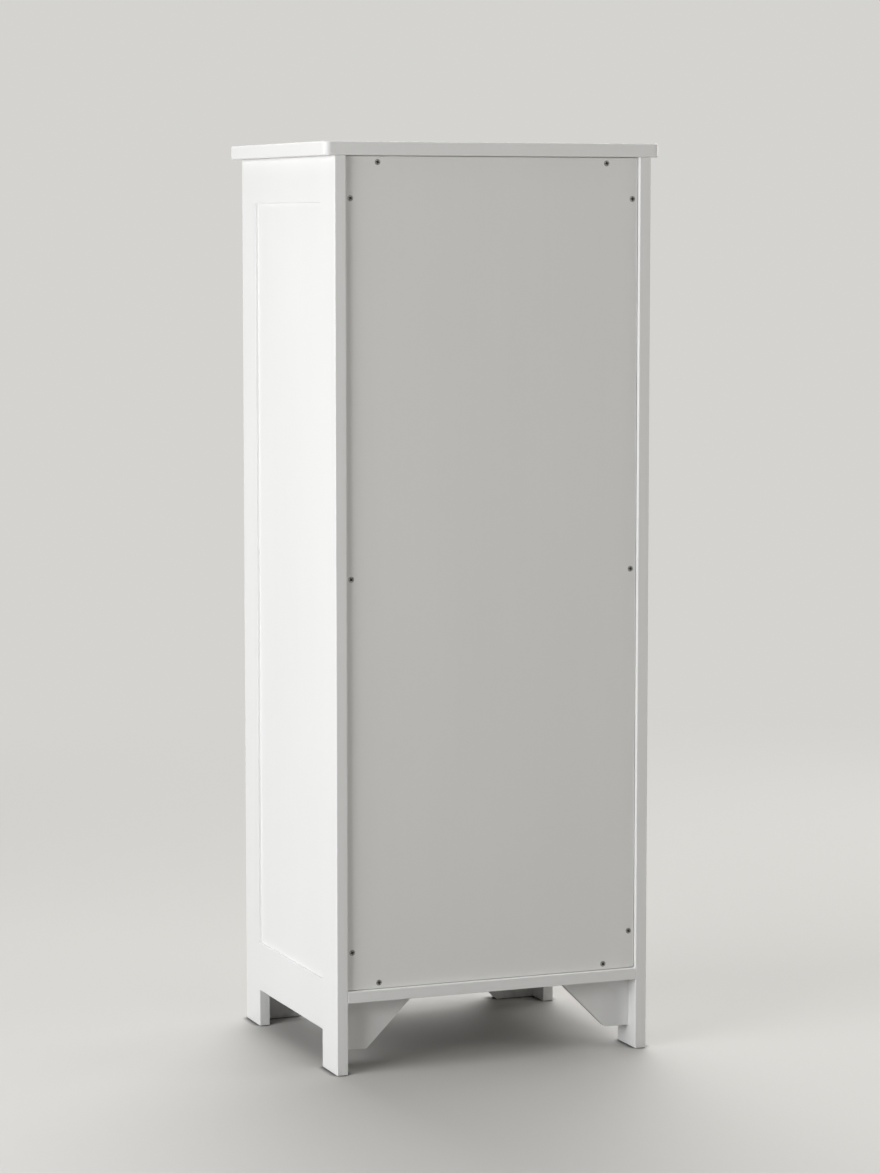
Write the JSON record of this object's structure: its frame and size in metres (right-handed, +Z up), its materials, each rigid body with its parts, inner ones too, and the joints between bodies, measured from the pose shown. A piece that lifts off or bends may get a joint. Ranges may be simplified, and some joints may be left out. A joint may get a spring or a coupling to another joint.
{
  "type": "bathroom drawer unit",
  "caption": "Tall slim bathroom drawer unit with framed sides, an overhanging top with rounded corners, cut-out feet and inset drawers with round knobs on wooden runners.",
  "frame": {"origin": "on the floor, under the middle of the unit's outline with its top and its knobs", "axes": "+Z up, -Y towards the front with the drawers, +X to the right as seen from the front"},
  "size_m": [0.372, 0.314, 0.958],
  "materials": {
    "white_paint": "satin white paint on MDF",
    "back_paint": "flat white paint on thin board",
    "drawer_paint": "matt white paint on MDF",
    "bare_pine": "planed bare pine",
    "zinc_plate": "zinc-plated steel",
    "satin_nickel": "satin nickel plate"
  },
  "bodies": {
    "cabinet": {"top_panel": "white_paint", "left_side_panel": "white_paint", "right_side_panel": "white_paint", "bottom_panel": "white_paint", "back_panel": "back_paint", "rear_top_rail": "white_paint", "rear_bottom_rail": "white_paint", "left_rear_batten": "white_paint", "right_rear_batten": "white_paint", "front_apron": "white_paint", "left_rear_bracket": "white_paint", "right_rear_bracket": "white_paint", "back_screws": "zinc_plate", "runner_screws": "zinc_plate", "cam_fittings": "zinc_plate", "left_runner_1": "bare_pine", "right_runner_1": "bare_pine", "left_runner_2": "bare_pine", "right_runner_2": "bare_pine", "left_runner_3": "bare_pine", "right_runner_3": "bare_pine", "left_runner_4": "bare_pine", "right_runner_4": "bare_pine", "left_runner_5": "bare_pine", "right_runner_5": "bare_pine"},
    "drawer_1": {"drawer_1_front": "white_paint", "drawer_1_left_side": "drawer_paint", "drawer_1_right_side": "drawer_paint", "drawer_1_back": "drawer_paint", "drawer_1_bottom": "drawer_paint", "drawer_1_knob": "satin_nickel", "drawer_1_screws": "zinc_plate"},
    "drawer_2": {"drawer_2_front": "white_paint", "drawer_2_left_side": "drawer_paint", "drawer_2_right_side": "drawer_paint", "drawer_2_back": "drawer_paint", "drawer_2_bottom": "drawer_paint", "drawer_2_knob": "satin_nickel", "drawer_2_screws": "zinc_plate"},
    "drawer_3": {"drawer_3_front": "white_paint", "drawer_3_left_side": "drawer_paint", "drawer_3_right_side": "drawer_paint", "drawer_3_back": "drawer_paint", "drawer_3_bottom": "drawer_paint", "drawer_3_knob": "satin_nickel", "drawer_3_screws": "zinc_plate"},
    "drawer_4": {"drawer_4_front": "white_paint", "drawer_4_left_side": "drawer_paint", "drawer_4_right_side": "drawer_paint", "drawer_4_back": "drawer_paint", "drawer_4_bottom": "drawer_paint", "drawer_4_knob": "satin_nickel", "drawer_4_screws": "zinc_plate"},
    "drawer_5": {"drawer_5_front": "white_paint", "drawer_5_left_side": "drawer_paint", "drawer_5_right_side": "drawer_paint", "drawer_5_back": "drawer_paint", "drawer_5_bottom": "drawer_paint", "drawer_5_knob": "satin_nickel", "drawer_5_screws": "zinc_plate"}
  },
  "joints": [
    {"name": "drawer_1_slide", "type": "slide", "parent": "cabinet", "child": "drawer_1", "axis": [0, -1, 0], "range_m": [0, 0.18]},
    {"name": "drawer_2_slide", "type": "slide", "parent": "cabinet", "child": "drawer_2", "axis": [0, -1, 0], "range_m": [0, 0.18]},
    {"name": "drawer_3_slide", "type": "slide", "parent": "cabinet", "child": "drawer_3", "axis": [0, -1, 0], "range_m": [0, 0.18]},
    {"name": "drawer_4_slide", "type": "slide", "parent": "cabinet", "child": "drawer_4", "axis": [0, -1, 0], "range_m": [0, 0.18]},
    {"name": "drawer_5_slide", "type": "slide", "parent": "cabinet", "child": "drawer_5", "axis": [0, -1, 0], "range_m": [0, 0.18]}
  ]
}
